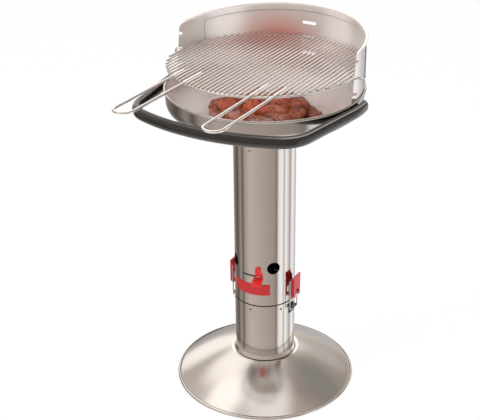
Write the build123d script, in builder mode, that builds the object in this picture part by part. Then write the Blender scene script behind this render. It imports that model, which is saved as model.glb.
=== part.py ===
from build123d import *
import os
from math import asin, atan2, cos, degrees, radians, sin, sqrt, tan

# Free-standing charcoal grill in millimetres: a bell foot carries an ash pot, a pillar that feeds
# air to a deep bowl, a wind shield with three grid heights, a cooking grid and a bumper bar.
# Origin on the floor at the pillar's axis, front towards -Y, +Z up.
# Angles round the pillar count from the front, positive towards +X.

# Bell foot
foot_radius = 241.5
foot_height = 82.0
foot_sheet = 1.2
foot_bead_radius = 5.0
foot_bead_flat = 0.5
foot_crown_radius = 92.0
foot_bulge = 7.0

# Ash pot and the bolt that holds it on the foot
tube_radius = 80.0
tube_wall = 1.0
pot_height = 167.0
pot_flare = 4.5
pot_flare_height = 12.0
pot_bolt_radius = 4.0
pot_bolt_head_radius = 7.0
pot_bolt_head = 5.0
pot_washer_radius = 15.0
pot_washer = 2.0
pot_nut = 6.5

# Seam between the pot and the pillar
seam_gap = 0.4
sleeve_height = 50.0
sleeve_wall = 1.0
sleeve_rivet_count = 6
sleeve_rivet_drop = 14.0

# Pillar, its air vents and the damper inside
pillar_height = 455.0
vent_count = 4
vent_radius = 17.25
vent_rise = 113.0
damper_wall = 1.0
damper_height = 62.0
damper_gap = 0.4
damper_hole_extra = 0.8
damper_turn = 32.0
damper_slot_rise = 90.0
damper_slot_width = 5.0

# Damper lever
lever_width = 16.0
lever_plate = 3.0
lever_rise = 28.0
lever_drop = 7.0
lever_tab_width = 27.0
lever_tab_reach = 27.0
lever_tab_drop = 8.0
lever_tab_thickness = 4.0
lever_gap = 0.4

# Badge plate, left plain
badge_width = 107.0
badge_height = 32.0
badge_plate = 0.8
badge_rise = 50.0

# Over-centre latches, one on each side of the pillar
latch_pivot_rise = 18.0
latch_pivot_reach = 9.0
latch_pin_radius = 2.5
latch_width = 34.0
latch_sheet = 2.0
latch_face_reach = 17.0
latch_face_lean = 0.5
latch_top_rise = 79.0
latch_bottom_rise = 14.0
latch_flange_top_rise = 70.0
latch_flange_reach = 4.5
latch_notch_radius = 8.0
latch_notch_height = 22.0
latch_corner_round = 3.0
bail_pivot_rise = 63.0
bail_pivot_reach = 8.0
bail_bar_drop = 22.0
bail_bar_reach = 6.0
bail_wire_radius = 1.5
bail_side_gap = 0.3
bracket_width = 24.0
bracket_plate = 2.0
bracket_height = 44.0
bracket_ear_radius = 5.5
bracket_ear_web = 8.0
catch_width = 24.0
catch_height = 24.0
catch_plate = 2.0
catch_lip_reach = 12.0
catch_lip = 2.5
catch_lip_slope = 8.0
catch_lip_gap = 0.5

# Bowl
rim_radius = 250.0
bowl_depth = 133.0
bowl_sheet = 1.2
rim_bead_radius = 3.0
bowl_wall_height = 28.0
bowl_corner_radius = 32.0
bowl_corner_turn = 55.0
bowl_flat_margin = 4.0

# Neck that plugs the bowl into the pillar
neck_height = 40.0
neck_wall = 1.2
neck_flange = 2.0
neck_flange_width = 11.7
neck_fit = 0.1
neck_screw_count = 4
neck_screw_drop = 16.0
bowl_bolt_count = 4
bowl_bolt_radius = 2.5

# Charcoal grate and the charcoal on it
grate_radius = 120.0
grate_plate = 3.0
grate_rim = 8.0
grate_bar = 8.0
grate_slot = 10.0
lump_length = 62.0
lump_width = 44.0
lump_height = 36.0
lump_round = 15.0
lower_lump_count = 20
upper_lump_count = 9
lower_heap_radius = 136.0
upper_heap_radius = 76.0
heap_core_radius = 108.0
heap_core_height = 40.0
golden_angle = 137.508
lump_tip_angle = 16.0
lump_sunk_share = 0.4

# Wind shield
shield_sheet = 1.0
shield_fit = 0.3
shield_drop = 25.0
shield_front_rise = 119.0
shield_back_extra = 22.0
shield_front_reach = 22.0
shield_bead_radius = 3.5
shield_bead_margin = 7.0
shield_corner_round = 14.0
panel_half_angle = 68.0
panel_step = 2.5
panel_bottom_rise = 21.0
panel_top_margin = 17.0
panel_round = 12.0
shield_screw_count = 3
shield_screw_span = 120.0
shield_screw_drop = 19.0

# Cooking grid
level_count = 3
level_pitch = 40.0
level_first_rise = 14.0
level_used = 1
rod_back = 8.0
rod_radius = 3.0
rod_overhang = 18.0
rod_hook_drop = 22.0
rod_bend_radius = 8.0
notch_slope = 15.0
notch_gap = 0.5
grid_gap = 2.7
grid_ring_wire = 3.0
ring_end_gap = 0.3
bar_radius = 2.5
bar_pitch = 12.0
weld_gap = 0.05
handle_skip_count = 7
handle_span_count = 4
handle_tip = 455.0
handle_root = 150.0
tab_width = 30.0
tab_plate = 3.0
tab_inside = 8.0
tab_outside = 6.0
tab_slot_height = 8.0
tab_slot_width = 40.0
tab_rest_gap = 0.3

# Bumper bar
bumper_height = 30.0
bumper_width = 20.0
bumper_drop = 19.0
bumper_bowl_gap = 3.0
bumper_front = 308.0
bumper_front_radius = 480.0
bumper_corner_radius = 78.0
bumper_flare = 9.0
bumper_tail = 6.0
bumper_end_round = 3.0
bumper_bolt_angles = (-1.5, 3.0)
bumper_bolt_radius = 3.0
bumper_bolt_depth = 14.0
bumper_bolt_head_radius = 5.0
bumper_spacer_radius = 7.0

# Small fasteners and clearances
rivet_radius = 1.6
rivet_head_radius = 3.2
rivet_head = 1.2
screw_radius = 2.0
screw_head_radius = 4.0
screw_head = 2.4
nut_radius = 4.5
nut_height = 3.0
hole_gap = 0.1
face_gap = 0.1
run_gap = 0.05

# Levels and radii that follow from the sizes above
pot_floor = foot_height
seam = pot_floor + pot_height
pillar_bottom = seam + seam_gap
pillar_top = pillar_bottom + pillar_height
rim = pillar_top + bowl_depth
tube_bore = tube_radius - tube_wall
neck_outside = tube_bore - neck_fit
neck_inside = neck_outside - neck_wall
bowl_flat_radius = tube_radius + bowl_flat_margin
bowl_hole_radius = neck_inside - neck_flange_width
bowl_bore = rim_radius - 2 * rim_bead_radius
bowl_outside = bowl_bore + bowl_sheet
shield_outside = bowl_bore - shield_fit
shield_inside = shield_outside - shield_sheet
rod_level = rim + level_first_rise + level_used * level_pitch
grid_ring_radius = shield_inside - grid_gap - grid_ring_wire
bar_level = rod_level + grid_ring_wire + bar_radius + weld_gap

ON_SEAT = (Align.CENTER, Align.CENTER, Align.MIN)
BEHIND_SEAT = (Align.CENTER, Align.CENTER, Align.MAX)

os.makedirs("parts", exist_ok=True)


def outward(angle):
    """Level direction away from the axis at an angle from the front."""
    return Vector(sin(radians(angle)), -cos(radians(angle)), 0)


def spoke(angle, radius, height):
    """Seat that faces outwards, its own y pointing up."""
    away = outward(angle)
    return Plane(origin=away * radius + Vector(0, 0, height), x_dir=(-away.Y, away.X, 0), z_dir=away)


def inward_spoke(angle, radius, height):
    """Seat that faces the axis."""
    away = outward(angle)
    return Plane(origin=away * radius + Vector(0, 0, height), x_dir=(away.Y, -away.X, 0), z_dir=-away)


def upright(angle):
    """Plane through the axis, its x pointing outwards and its y up."""
    away = outward(angle)
    return Plane(origin=(0, 0, 0), x_dir=away, z_dir=(away.Y, -away.X, 0))


def round_angles(count, first=0.0):
    """Equal angles round the axis."""
    return [first + index * 360.0 / count for index in range(count)]


def add_bolt(seat, head_radius, head, shank_radius, shank):
    """Round head in front of the seat and a shank behind it."""
    with Locations(seat):
        Cylinder(head_radius, head, align=ON_SEAT)
        Cylinder(shank_radius, shank, align=BEHIND_SEAT)


def add_washer(seat, radius, bore, height):
    """Ring standing on the seat."""
    with BuildSketch(seat) as ring:
        Circle(radius)
        Circle(bore, mode=Mode.SUBTRACT)
    extrude(ring.sketch, amount=height)


def add_hex_nut(seat, radius, bore, height):
    """Six-sided nut standing on the seat."""
    with BuildSketch(seat) as nut:
        RegularPolygon(radius, 6)
        Circle(bore, mode=Mode.SUBTRACT)
    extrude(nut.sketch, amount=height)


def cut_hole(seat, radius, depth):
    """Round hole through both sides of a seat."""
    with Locations(seat):
        Cylinder(radius, 2 * depth, mode=Mode.SUBTRACT)


def add_tube(inner, outer, bottom, top):
    """Round tube on the pillar's axis."""
    with BuildSketch(Plane.XY.offset(bottom)) as ring:
        Circle(outer)
        Circle(inner, mode=Mode.SUBTRACT)
    extrude(ring.sketch, amount=top - bottom)


def add_curved_plate(angle, inner, outer, width, bottom, top):
    """Plate that follows the pillar, cut to a width."""
    add_tube(inner, outer, bottom, top)
    with Locations(spoke(angle, 0, (bottom + top) / 2)):
        Box(width, top - bottom, 2 * outer, align=ON_SEAT, mode=Mode.INTERSECT)


def write(part, name):
    """Names a finished piece and writes its file."""
    part.label = name
    export_step(part, "parts/" + name + ".step")


# Bell foot, one pressed sheet with a rolled rim that is flat where it stands
bead_centre_radius = foot_radius - foot_bead_radius
bead_centre_height = foot_bead_radius - foot_bead_flat
skin_drop = foot_sheet / cos(atan2(foot_height, bead_centre_radius - foot_crown_radius))
bulge_radius = (bead_centre_radius + foot_crown_radius) / 2
bulge_height = (bead_centre_height + foot_height) / 2 + foot_bulge
pot_bolt_hole = pot_bolt_radius + hole_gap

with BuildPart() as base_bell:
    with BuildSketch(Plane.XZ):
        with BuildLine():
            low = (bead_centre_radius, bead_centre_height + foot_sheet)
            high = (foot_crown_radius, foot_height)
            ThreePointArc(low, (bulge_radius, bulge_height), high)
            Line(high, (foot_crown_radius, foot_height - skin_drop))
            ThreePointArc(
                (foot_crown_radius, foot_height - skin_drop),
                (bulge_radius, bulge_height - skin_drop),
                (bead_centre_radius, bead_centre_height + foot_sheet - skin_drop),
            )
            Line((bead_centre_radius, bead_centre_height + foot_sheet - skin_drop), low)
        make_face()
        with Locations((bead_centre_radius, bead_centre_height)):
            Circle(foot_bead_radius)
        with Locations((bead_centre_radius, 0)):
            Rectangle(4 * foot_bead_radius, 4 * foot_bead_radius, align=BEHIND_SEAT[1:], mode=Mode.SUBTRACT)
        with Locations((pot_bolt_hole, foot_height)):
            Rectangle(foot_crown_radius - pot_bolt_hole, foot_sheet, align=(Align.MIN, Align.MAX))
    revolve(axis=Axis.Z)
write(base_bell.part, "base_bell")

# Ash pot, the lower length of the pillar, closed at the bottom
catch_rivet_level = seam - bail_bar_drop - catch_height / 3
sleeve_rivet_level = seam - sleeve_rivet_drop
rivet_hole = rivet_radius + hole_gap
catch_rivet_turn = degrees(catch_width / 4 / tube_radius)
side_angles = {"right": 90.0, "left": -90.0}

with BuildPart() as ash_pot:
    with BuildSketch(Plane.XZ):
        with BuildLine():
            Polyline(
                (pot_bolt_hole, pot_floor),
                (tube_radius + pot_flare, pot_floor),
                (tube_radius, pot_floor + pot_flare_height),
                (tube_radius, seam),
                (tube_bore, seam),
                (tube_bore, pot_floor + pot_flare_height),
                (tube_bore + pot_flare, pot_floor + tube_wall),
                (pot_bolt_hole, pot_floor + tube_wall),
                close=True,
            )
        make_face()
    revolve(axis=Axis.Z)
    for angle in round_angles(sleeve_rivet_count):
        cut_hole(spoke(angle, tube_radius, sleeve_rivet_level), rivet_hole, 2 * rivet_head_radius)
    for angle in side_angles.values():
        for side in (-1, 1):
            turn = side * catch_rivet_turn
            cut_hole(spoke(angle + turn, tube_radius, catch_rivet_level), rivet_hole, 2 * rivet_head_radius)
write(ash_pot.part, "ash_pot")

pot_inner_floor = pot_floor + tube_wall
foot_ceiling = foot_height - foot_sheet
bolt_grip = pot_inner_floor + pot_washer - foot_ceiling + pot_washer

with BuildPart() as pot_washers:
    add_washer(Plane.XY.offset(pot_inner_floor), pot_washer_radius, pot_bolt_hole, pot_washer)
    add_washer(Plane.XY.offset(foot_ceiling - pot_washer), pot_washer_radius, pot_bolt_hole, pot_washer)
write(pot_washers.part, "pot_washers")

with BuildPart() as pot_bolt:
    bolt_seat = pot_inner_floor + pot_washer
    with BuildSketch(Plane.XY.offset(bolt_seat)):
        RegularPolygon(pot_bolt_head_radius, 6)
    extrude(amount=pot_bolt_head)
    with BuildSketch(Plane.XY.offset(bolt_seat)):
        Circle(pot_bolt_radius)
    extrude(amount=-(bolt_grip + pot_nut))
write(pot_bolt.part, "pot_bolt")

with BuildPart() as pot_lock_nut:
    nut_seat = Plane.XY.offset(foot_ceiling - pot_washer - pot_nut)
    add_hex_nut(nut_seat, pot_bolt_head_radius, pot_bolt_hole, pot_nut)
write(pot_lock_nut.part, "pot_lock_nut")

# Sleeve inside the seam, riveted to the pot, over which the pillar stands
sleeve_outside = tube_bore - neck_fit

with BuildPart() as joining_sleeve:
    add_tube(sleeve_outside - sleeve_wall, sleeve_outside, seam - sleeve_height / 2, seam + sleeve_height / 2)
    for angle in round_angles(sleeve_rivet_count):
        cut_hole(spoke(angle, tube_radius, sleeve_rivet_level), rivet_hole, 2 * rivet_head_radius)
write(joining_sleeve.part, "joining_sleeve")

with BuildPart() as sleeve_rivets:
    for angle in round_angles(sleeve_rivet_count):
        rivet_seat = spoke(angle, tube_radius + face_gap, sleeve_rivet_level)
        rivet_length = face_gap + tube_wall + neck_fit + sleeve_wall
        add_bolt(rivet_seat, rivet_head_radius, rivet_head, rivet_radius, rivet_length)
write(sleeve_rivets.part, "sleeve_rivets")

# Pillar with four vents, the damper's slot, latch rivets and neck screws
vent_level = seam + vent_rise
slot_level = seam + damper_slot_rise
slot_end = damper_turn / 2
neck_screw_level = pillar_top - neck_screw_drop
screw_hole = screw_radius + hole_gap
vent_angles = round_angles(vent_count, 180.0 / vent_count)
bracket_bottom = seam + latch_bottom_rise
bracket_rivet_levels = [bracket_bottom + bracket_height - drop * rivet_head_radius for drop in (2, 6)]

with BuildPart() as pillar_tube:
    add_tube(tube_bore, tube_radius, pillar_bottom, pillar_top)
    for angle in vent_angles:
        cut_hole(spoke(angle, tube_radius, vent_level), vent_radius, vent_radius)
    with BuildSketch(upright(-slot_end)):
        with Locations((tube_radius, slot_level)):
            Rectangle(6 * tube_wall, damper_slot_width)
    revolve(axis=Axis.Z, revolution_arc=damper_turn, mode=Mode.SUBTRACT)
    for angle in (-slot_end, slot_end):
        cut_hole(spoke(angle, tube_radius, slot_level), damper_slot_width / 2, 3 * tube_wall)
    for angle in round_angles(neck_screw_count):
        cut_hole(spoke(angle, tube_radius, neck_screw_level), screw_hole, 3 * tube_wall)
    for angle in side_angles.values():
        for level in bracket_rivet_levels:
            cut_hole(spoke(angle, tube_radius, level), rivet_hole, 3 * tube_wall)
write(pillar_tube.part, "pillar_tube")

# Damper band inside the pillar, open at rest, with its lever outside on a screw through the slot
damper_outside = tube_bore - damper_gap
damper_inside = damper_outside - damper_wall
damper_bottom = slot_level - 2 * screw_head_radius
lever_angle = slot_end

with BuildPart() as damper_band:
    add_tube(damper_inside, damper_outside, damper_bottom, damper_bottom + damper_height)
    for angle in vent_angles:
        cut_hole(spoke(angle, damper_outside, vent_level), vent_radius + damper_hole_extra, vent_radius)
    cut_hole(spoke(lever_angle, damper_outside, slot_level), screw_hole, 3 * damper_wall)
write(damper_band.part, "damper_band")

lever_back = tube_radius + lever_gap
lever_front = lever_back + lever_plate
tab_level = slot_level - lever_drop

with BuildPart() as damper_lever:
    with BuildSketch(spoke(lever_angle, 0, slot_level)):
        with BuildLine():
            top = (0, lever_rise)
            half = lever_width / 2
            Line((-half, lever_rise - half), (-half, -lever_drop))
            Line((-half, -lever_drop), (half, -lever_drop))
            Line((half, -lever_drop), (half, lever_rise - half))
            ThreePointArc((half, lever_rise - half), top, (-half, lever_rise - half))
        make_face()
    extrude(amount=lever_front)
    with BuildSketch(spoke(lever_angle, 0, tab_level)):
        with Locations((0, -lever_tab_thickness / 2)):
            Rectangle(lever_tab_width, lever_tab_thickness)
    extrude(amount=lever_front + lever_tab_reach)
    with BuildSketch(spoke(lever_angle, lever_front + lever_tab_reach - lever_tab_thickness, tab_level)):
        with Locations((0, -lever_tab_drop / 2)):
            Rectangle(lever_tab_width, lever_tab_drop)
    extrude(amount=lever_tab_thickness)
    with BuildSketch(Plane.XY.offset(tab_level - 2 * lever_tab_drop)) as lever_core:
        Circle(lever_back)
    extrude(lever_core.sketch, amount=lever_rise + lever_drop + 3 * lever_tab_drop, mode=Mode.SUBTRACT)
    tab_corners = damper_lever.edges().filter_by(Axis.Z).sort_by(Axis.Y)[:4]
    fillet(tab_corners.group_by(SortBy.LENGTH)[-1], lever_tab_thickness / 3)
    cut_hole(spoke(lever_angle, lever_front, slot_level), screw_hole, 3 * lever_plate)
write(damper_lever.part, "damper_lever")

with BuildPart() as damper_screw:
    screw_seat = spoke(lever_angle, lever_front, slot_level)
    screw_grip = lever_front - damper_inside + face_gap
    add_bolt(screw_seat, screw_head_radius, screw_head, screw_radius, screw_grip + nut_height)
write(damper_screw.part, "damper_screw")

with BuildPart() as damper_lock_nut:
    nut_sag = damper_inside - sqrt(damper_inside**2 - nut_radius**2)
    nut_seat = inward_spoke(lever_angle, damper_inside - nut_sag - face_gap, slot_level)
    add_hex_nut(nut_seat, nut_radius, screw_hole, nut_height)
write(damper_lock_nut.part, "damper_lock_nut")

# Badge plate below the damper, curved to the pillar and left bare
badge_level = seam + badge_rise
badge_chord = 2 * tube_radius * sin(badge_width / tube_radius / 2)

with BuildPart() as badge_plate_piece:
    badge_back = tube_radius + face_gap
    badge_low = badge_level - badge_height / 2
    badge_high = badge_low + badge_height
    add_curved_plate(0, badge_back, badge_back + badge_plate, badge_chord, badge_low, badge_high)
write(badge_plate_piece.part, "badge_plate")

# Latches, drawn on the right side and mirrored to the left.
# Each lever turns on a pin in its bracket, and its wire bail holds the catch on the pot.
pivot = Vector(tube_radius + latch_pivot_reach, seam + latch_pivot_rise)
bail_pivot = Vector(tube_radius + bail_pivot_reach, seam + bail_pivot_rise)
bail_bar = Vector(tube_radius + bail_bar_reach, seam - bail_bar_drop)
plate_back = tube_radius + face_gap
ear_middle = (bracket_width - bracket_plate) / 2
flange_middle = (latch_width - latch_sheet) / 2
face_bottom = seam + latch_bottom_rise
face_top = seam + latch_top_rise
face_reach = tube_radius + latch_face_reach
lean_shift = (latch_top_rise - latch_bottom_rise) * tan(radians(latch_face_lean))
pin_hole = latch_pin_radius + run_gap
bail_hole = bail_wire_radius + run_gap


def side_plane(offset):
    """Upright plane beside the right latch, x outwards and y up."""
    return Plane(origin=(0, offset, 0), x_dir=(1, 0, 0), z_dir=(0, -1, 0))


with BuildPart() as latch_bracket_right:
    add_curved_plate(
        side_angles["right"], plate_back, plate_back + bracket_plate, bracket_width,
        bracket_bottom, bracket_bottom + bracket_height,
    )
    for side in (-1, 1):
        with BuildSketch(side_plane(side * ear_middle)) as ear:
            with Locations((pivot.X, pivot.Y)):
                Circle(bracket_ear_radius)
            with Locations((plate_back, pivot.Y)):
                Rectangle(latch_pivot_reach, bracket_ear_web, align=(Align.MIN, Align.CENTER))
        extrude(ear.sketch, amount=bracket_plate / 2, both=True)
    for level in bracket_rivet_levels:
        cut_hole(spoke(side_angles["right"], tube_radius, level), rivet_hole, 3 * bracket_plate)
    with BuildSketch(side_plane(0)) as pin_bore:
        with Locations((pivot.X, pivot.Y)):
            Circle(pin_hole)
    extrude(pin_bore.sketch, amount=latch_width, both=True, mode=Mode.SUBTRACT)
write(latch_bracket_right.part, "latch_bracket_right")

flange_back = tube_radius + latch_flange_reach
flange_top = seam + latch_flange_top_rise
flange_front = face_reach - latch_sheet / 2
flange_lean = (latch_flange_top_rise - latch_bottom_rise) * tan(radians(latch_face_lean))
flange_cut = latch_flange_reach

with BuildPart() as latch_lever_right:
    with BuildSketch(side_plane(0)):
        with BuildLine():
            Polyline(
                (face_reach, face_bottom),
                (face_reach + lean_shift, face_top),
                (face_reach + lean_shift - latch_sheet, face_top),
                (face_reach - latch_sheet, face_bottom),
                close=True,
            )
        make_face()
    extrude(amount=latch_width / 2, both=True)
    face_corners = latch_lever_right.edges().filter_by(GeomType.LINE).group_by(SortBy.LENGTH)[0]
    fillet(face_corners, latch_corner_round)
    for side in (-1, 1):
        with BuildSketch(side_plane(side * flange_middle)):
            with BuildLine():
                Polyline(
                    (flange_front, face_bottom + latch_corner_round),
                    (pivot.X, pivot.Y),
                    (flange_back, pivot.Y),
                    (flange_back, flange_top - flange_cut),
                    (flange_back + flange_cut, flange_top),
                    (flange_front + flange_lean, flange_top),
                    close=True,
                )
            make_face()
            with Locations((pivot.X, pivot.Y)):
                Circle(bracket_ear_radius)
        extrude(amount=latch_sheet / 2, both=True)
    with BuildSketch(side_plane(0)):
        with Locations((pivot.X, pivot.Y)):
            Circle(pin_hole)
        with Locations((bail_pivot.X, bail_pivot.Y)):
            Circle(bail_hole)
    extrude(amount=latch_width, both=True, mode=Mode.SUBTRACT)
    with BuildSketch(spoke(side_angles["right"], flange_back, face_bottom)):
        with Locations((0, latch_notch_height - latch_notch_radius)):
            Circle(latch_notch_radius)
            Rectangle(2 * latch_notch_radius, latch_notch_height, align=(Align.CENTER, Align.MAX))
    extrude(amount=face_reach, mode=Mode.SUBTRACT)
write(latch_lever_right.part, "latch_lever_right")

with BuildPart() as latch_pin_right:
    with BuildSketch(side_plane(0)):
        with Locations((pivot.X, pivot.Y)):
            Circle(latch_pin_radius)
    extrude(amount=latch_width / 2, both=True)
write(latch_pin_right.part, "latch_pin_right")

bail_run = bail_bar - bail_pivot
bail_end = latch_width / 2 - latch_sheet - bail_wire_radius
bail_bend = 2 * bail_wire_radius
bail_side = latch_width / 2 + bail_side_gap + bail_bend
bail_plane = Plane(
    origin=(bail_pivot.X, 0, bail_pivot.Y), x_dir=(0, 1, 0), z_dir=(bail_run.Y, 0, -bail_run.X)
)

with BuildPart() as latch_bail_right:
    with BuildLine(bail_plane) as bail_path:
        FilletPolyline(
            (-bail_end, 0),
            (-bail_side, 0),
            (-bail_side, bail_run.length),
            (bail_side, bail_run.length),
            (bail_side, 0),
            (bail_end, 0),
            radius=bail_bend,
        )
    with BuildSketch(Plane(origin=bail_path.line @ 0, z_dir=bail_path.line % 0)):
        Circle(bail_wire_radius)
    sweep()
write(latch_bail_right.part, "latch_bail_right")

catch_low = bail_bar.Y - 2 * catch_height / 3
lip_fall = tan(radians(catch_lip_slope))
lip_root = bail_bar.Y + bail_wire_radius + catch_lip_gap + bail_bar_reach * lip_fall
lip_tip = lip_root - catch_lip_reach * lip_fall

with BuildPart() as latch_catch_right:
    add_curved_plate(
        side_angles["right"], plate_back, plate_back + catch_plate, catch_width,
        catch_low, catch_low + catch_height,
    )
    with BuildSketch(side_plane(0)) as lip:
        with BuildLine():
            Polyline(
                (plate_back, lip_root),
                (tube_radius + catch_lip_reach, lip_tip),
                (tube_radius + catch_lip_reach, lip_tip + catch_lip),
                (plate_back, lip_root + catch_lip),
                close=True,
            )
        make_face()
    extrude(lip.sketch, amount=catch_width / 2, both=True)
    for side in (-1, 1):
        rivet_angle = side_angles["right"] + side * catch_rivet_turn
        cut_hole(spoke(rivet_angle, tube_radius, catch_rivet_level), rivet_hole, 3 * catch_plate)
write(latch_catch_right.part, "latch_catch_right")

for piece, name in (
    (latch_bracket_right, "latch_bracket_left"),
    (latch_lever_right, "latch_lever_left"),
    (latch_pin_right, "latch_pin_left"),
    (latch_bail_right, "latch_bail_left"),
    (latch_catch_right, "latch_catch_left"),
):
    with BuildPart() as left_piece:
        mirror(piece.part, about=Plane.YZ)
    write(left_piece.part, name)

with BuildPart() as bracket_rivets:
    bracket_front = plate_back + bracket_plate + face_gap
    for angle in side_angles.values():
        for level in bracket_rivet_levels:
            rivet_seat = spoke(angle, bracket_front, level)
            add_bolt(rivet_seat, rivet_head_radius, rivet_head, rivet_radius, bracket_front - tube_bore)
write(bracket_rivets.part, "bracket_rivets")

with BuildPart() as catch_rivets:
    catch_front = plate_back + catch_plate + face_gap
    for angle in side_angles.values():
        for side in (-1, 1):
            rivet_seat = spoke(angle + side * catch_rivet_turn, catch_front, catch_rivet_level)
            add_bolt(rivet_seat, rivet_head_radius, rivet_head, rivet_radius, catch_front - tube_bore)
write(catch_rivets.part, "catch_rivets")

# Bowl, a steep wall above a rounded corner and a long shallow floor.
# The floor's arc leaves the corner without a kink and ends at the flat over the pillar.
wall_low = rim - rim_bead_radius - bowl_wall_height
corner_turn = radians(bowl_corner_turn)
corner_out = Vector(cos(corner_turn), -sin(corner_turn))
corner_centre = Vector(bowl_outside - bowl_corner_radius, wall_low)
corner_end = corner_centre + corner_out * bowl_corner_radius
flat_end = Vector(bowl_flat_radius, pillar_top)
floor_chord = flat_end - corner_end
floor_radius = floor_chord.length**2 / (-2 * floor_chord.dot(corner_out))
floor_centre = corner_end - corner_out * floor_radius
floor_turn = atan2(floor_centre.Y - flat_end.Y, flat_end.X - floor_centre.X)
bowl_inner_floor = pillar_top + bowl_sheet


def arc_point(centre, radius, turn):
    """Point of a section arc, its turn counted downwards from the outward direction."""
    return (centre.X + radius * cos(turn), centre.Y - radius * sin(turn))


def floor_height(radius, lift=0.0):
    """Height of the bowl's inside, or of a surface lifted off it, at a radius on the floor's arc."""
    return floor_centre.Y - sqrt((floor_radius - bowl_sheet - lift) ** 2 - (radius - floor_centre.X) ** 2)


def floor_reach(height, lift=0.0):
    """Radius at which the bowl's inside, or a surface lifted off it, has a height."""
    return floor_centre.X + sqrt((floor_radius - bowl_sheet - lift) ** 2 - (floor_centre.Y - height) ** 2)


inner_corner = bowl_corner_radius - bowl_sheet
inner_floor = floor_radius - bowl_sheet
inner_flat = (floor_reach(bowl_inner_floor), bowl_inner_floor)
inner_turn = atan2(floor_centre.Y - bowl_inner_floor, inner_flat[0] - floor_centre.X)
bowl_bolt_circle = (bowl_hole_radius + neck_inside) / 2
bowl_bolt_hole = bowl_bolt_radius + hole_gap
bumper_level = rim - bumper_drop
bumper_bolt_hole = bumper_bolt_radius + hole_gap
bumper_fixings = [side * (90 + angle) for side in (-1, 1) for angle in bumper_bolt_angles]
shield_screw_level = rim - shield_screw_drop
shield_screw_step = shield_screw_span / (shield_screw_count - 1)
shield_fixings = [
    180 - shield_screw_span / 2 + index * shield_screw_step for index in range(shield_screw_count)
]
bowl_bolt_seats = [
    Plane.XY.offset(bowl_inner_floor).shift_origin(
        tuple(outward(angle) * bowl_bolt_circle + Vector(0, 0, bowl_inner_floor))
    )
    for angle in round_angles(bowl_bolt_count, 180 / bowl_bolt_count)
]


def cut_wall_holes():
    """Holes for the bumper bolts and the shield screws, alike in the bowl and in the shield."""
    for angle in bumper_fixings:
        cut_hole(spoke(angle, bowl_bore, bumper_level), bumper_bolt_hole, bumper_bowl_gap)
    for angle in shield_fixings:
        cut_hole(spoke(angle, bowl_bore, shield_screw_level), screw_hole, bumper_bowl_gap)


with BuildPart() as bowl:
    with BuildSketch(Plane.XZ):
        with BuildLine():
            Line((bowl_hole_radius, pillar_top), (flat_end.X, flat_end.Y))
            ThreePointArc(
                (flat_end.X, flat_end.Y),
                arc_point(floor_centre, floor_radius, (floor_turn + corner_turn) / 2),
                (corner_end.X, corner_end.Y),
            )
            ThreePointArc(
                (corner_end.X, corner_end.Y),
                arc_point(corner_centre, bowl_corner_radius, corner_turn / 2),
                (bowl_outside, wall_low),
            )
            Polyline(
                (bowl_outside, wall_low),
                (bowl_outside, rim - rim_bead_radius),
                (bowl_bore, rim - rim_bead_radius),
                (bowl_bore, wall_low),
            )
            ThreePointArc(
                (bowl_bore, wall_low),
                arc_point(corner_centre, inner_corner, corner_turn / 2),
                arc_point(corner_centre, inner_corner, corner_turn),
            )
            ThreePointArc(
                arc_point(corner_centre, inner_corner, corner_turn),
                arc_point(floor_centre, inner_floor, (inner_turn + corner_turn) / 2),
                inner_flat,
            )
            Polyline(
                inner_flat,
                (bowl_hole_radius, bowl_inner_floor),
                (bowl_hole_radius, pillar_top),
            )
        make_face()
        with Locations((rim_radius - rim_bead_radius, rim - rim_bead_radius)):
            Circle(rim_bead_radius)
    revolve(axis=Axis.Z)
    for seat in bowl_bolt_seats:
        cut_hole(seat, bowl_bolt_hole, 2 * bowl_sheet)
    cut_wall_holes()
write(bowl.part, "bowl")

# Neck under the bowl, screwed into the pillar's top and bolted to the bowl's floor
with BuildPart() as bowl_neck:
    add_tube(neck_inside, neck_outside, pillar_top - neck_height, pillar_top)
    add_tube(bowl_hole_radius, neck_outside, pillar_top - neck_flange, pillar_top)
    for angle in round_angles(neck_screw_count):
        cut_hole(spoke(angle, tube_radius, neck_screw_level), screw_hole, 4 * neck_wall)
    for seat in bowl_bolt_seats:
        cut_hole(seat, bowl_bolt_hole, 3 * neck_flange)
write(bowl_neck.part, "bowl_neck")

with BuildPart() as neck_screws:
    for angle in round_angles(neck_screw_count):
        neck_seat = spoke(angle, tube_radius + face_gap, neck_screw_level)
        neck_grip = face_gap + tube_wall + neck_fit + neck_wall
        add_bolt(neck_seat, screw_head_radius, screw_head, screw_radius, neck_grip)
write(neck_screws.part, "neck_screws")

with BuildPart() as bowl_bolts:
    for seat in bowl_bolt_seats:
        bowl_grip = bowl_sheet + neck_flange + nut_height
        add_bolt(seat, nut_radius, screw_head, bowl_bolt_radius, bowl_grip)
write(bowl_bolts.part, "bowl_bolts")

with BuildPart() as bowl_nuts:
    for seat in bowl_bolt_seats:
        nut_seat = seat.offset(-(bowl_sheet + neck_flange + nut_height))
        add_hex_nut(nut_seat, nut_radius, bowl_bolt_hole, nut_height)
write(bowl_nuts.part, "bowl_nuts")

# Charcoal grate, a slotted plate that rests on the bowl's floor by its edge
grate_low = floor_height(grate_radius) + face_gap
grate_top = grate_low + grate_plate
slot_pitch = grate_bar + grate_slot
slot_field = grate_radius - grate_rim
slot_rows = int((slot_field - grate_slot) / slot_pitch)

with BuildPart() as charcoal_grate:
    with BuildSketch(Plane.XY.offset(grate_low)):
        Circle(grate_radius)
        for row in range(-slot_rows, slot_rows + 1):
            slot_length = 2 * sqrt(slot_field**2 - (abs(row) * slot_pitch + grate_slot / 2) ** 2)
            with Locations((row * slot_pitch, 0)):
                SlotOverall(slot_length, grate_slot, rotation=90, mode=Mode.SUBTRACT)
    extrude(amount=grate_plate)
write(charcoal_grate.part, "charcoal_grate")

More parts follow.
